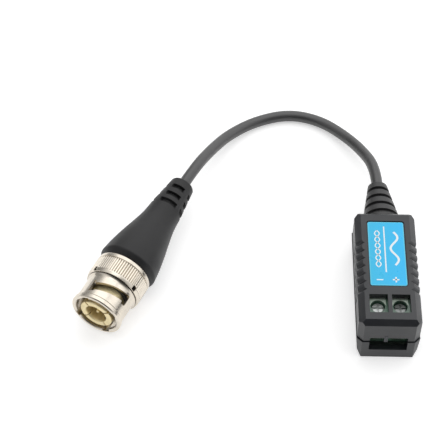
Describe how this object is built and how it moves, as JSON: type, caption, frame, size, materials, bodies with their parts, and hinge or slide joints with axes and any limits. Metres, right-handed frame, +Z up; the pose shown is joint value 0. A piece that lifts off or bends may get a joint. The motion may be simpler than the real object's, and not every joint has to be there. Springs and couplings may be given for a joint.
{
  "type": "passive video balun",
  "caption": "Passive CCTV video balun: a small housing with a screw terminal for a twisted pair, a short coaxial lead and a bayonet video plug.",
  "frame": {"origin": "bottom centre of the terminal housing, on the surface it lies on", "axes": "+Y along the housing from its terminal end to its lead end, +X to the right seen from the terminal end, +Z up"},
  "size_m": [0.0796, 0.0745, 0.0144],
  "materials": {
    "housing": "satin black moulded plastic",
    "label": "printed blue film",
    "terminal_green": "moulded, slightly glossy",
    "tinned_brass": "tin plated",
    "clamp_steel": "zinc plated",
    "board": "solder mask",
    "ferrite": "sintered, dull",
    "enamelled_wire": "enamelled copper wire",
    "arrester_ceramic": "ceramic with plated caps",
    "chip_ceramic": "fired ceramic",
    "flex_black": "matte flexible PVC",
    "cable_black": "satin flexible PVC",
    "core_white": "natural polyethylene",
    "copper": "bare copper braid",
    "nickel": "warm bright nickel plate",
    "spring_steel": "bare spring steel",
    "gasket": "silicone",
    "insulator_white": "white fluoropolymer",
    "gold": "gold plated brass"
  },
  "bodies": {
    "balun": {"housing_top": "housing", "housing_bottom": "housing", "label": "label", "terminal_block": "terminal_green", "terminal_contact_minus": "tinned_brass", "terminal_contact_plus": "tinned_brass", "circuit_board": "board", "ferrite_ring": "ferrite", "transformer_winding": "enamelled_wire", "surge_arrester": "arrester_ceramic", "chip_capacitors": "chip_ceramic", "chip_resistors": "chip_ceramic", "signal_tail": "core_white", "screen_tail": "copper", "strain_relief": "flex_black", "cable": "cable_black", "plug_boot": "flex_black", "crimp_ferrule": "nickel", "cable_screen": "copper", "cable_core": "core_white", "plug_body": "nickel", "spring_clip": "spring_steel", "wave_washer": "spring_steel", "gasket": "gasket", "insulator": "insulator_white", "centre_pin": "gold", "outer_contact": "gold"},
    "ring_carrier": {"thrust_washer": "spring_steel"},
    "coupling_ring": {"coupling_sleeve": "nickel"},
    "screw_minus": {"clamp_screw_minus": "clamp_steel"},
    "cage_minus": {"clamp_cage_minus": "tinned_brass"},
    "screw_plus": {"clamp_screw_plus": "clamp_steel"},
    "cage_plus": {"clamp_cage_plus": "tinned_brass"}
  },
  "joints": [
    {"name": "ring_slide", "type": "slide", "parent": "balun", "child": "ring_carrier", "axis": [-0.4305, -0.9026, 0], "range_m": [0, 0.0005]},
    {"name": "ring_turn", "type": "hinge", "parent": "ring_carrier", "child": "coupling_ring", "pos_m": [-0.06384, -0.00474, 0.0072], "axis": [0.4305, 0.9026, 0], "continuous": true},
    {"name": "cage_minus_rise", "type": "slide", "parent": "balun", "child": "cage_minus", "axis": [0, 0, 1], "range_m": [0, 0.0016]},
    {"name": "screw_minus_turn", "type": "hinge", "parent": "balun", "child": "screw_minus", "pos_m": [-0.00254, -0.0098, 0.0095], "axis": [0, 0, -1], "range_deg": [0, 1152.5]},
    {"name": "cage_plus_rise", "type": "slide", "parent": "balun", "child": "cage_plus", "axis": [0, 0, 1], "range_m": [0, 0.0016]},
    {"name": "screw_plus_turn", "type": "hinge", "parent": "balun", "child": "screw_plus", "pos_m": [0.00254, -0.0098, 0.0095], "axis": [0, 0, -1], "range_deg": [0, 1152.5]}
  ],
  "couplings": [
    {"joint": "screw_minus_turn", "follows": "cage_minus_rise", "rad_per_m": 12566},
    {"joint": "screw_plus_turn", "follows": "cage_plus_rise", "rad_per_m": 12566}
  ]
}
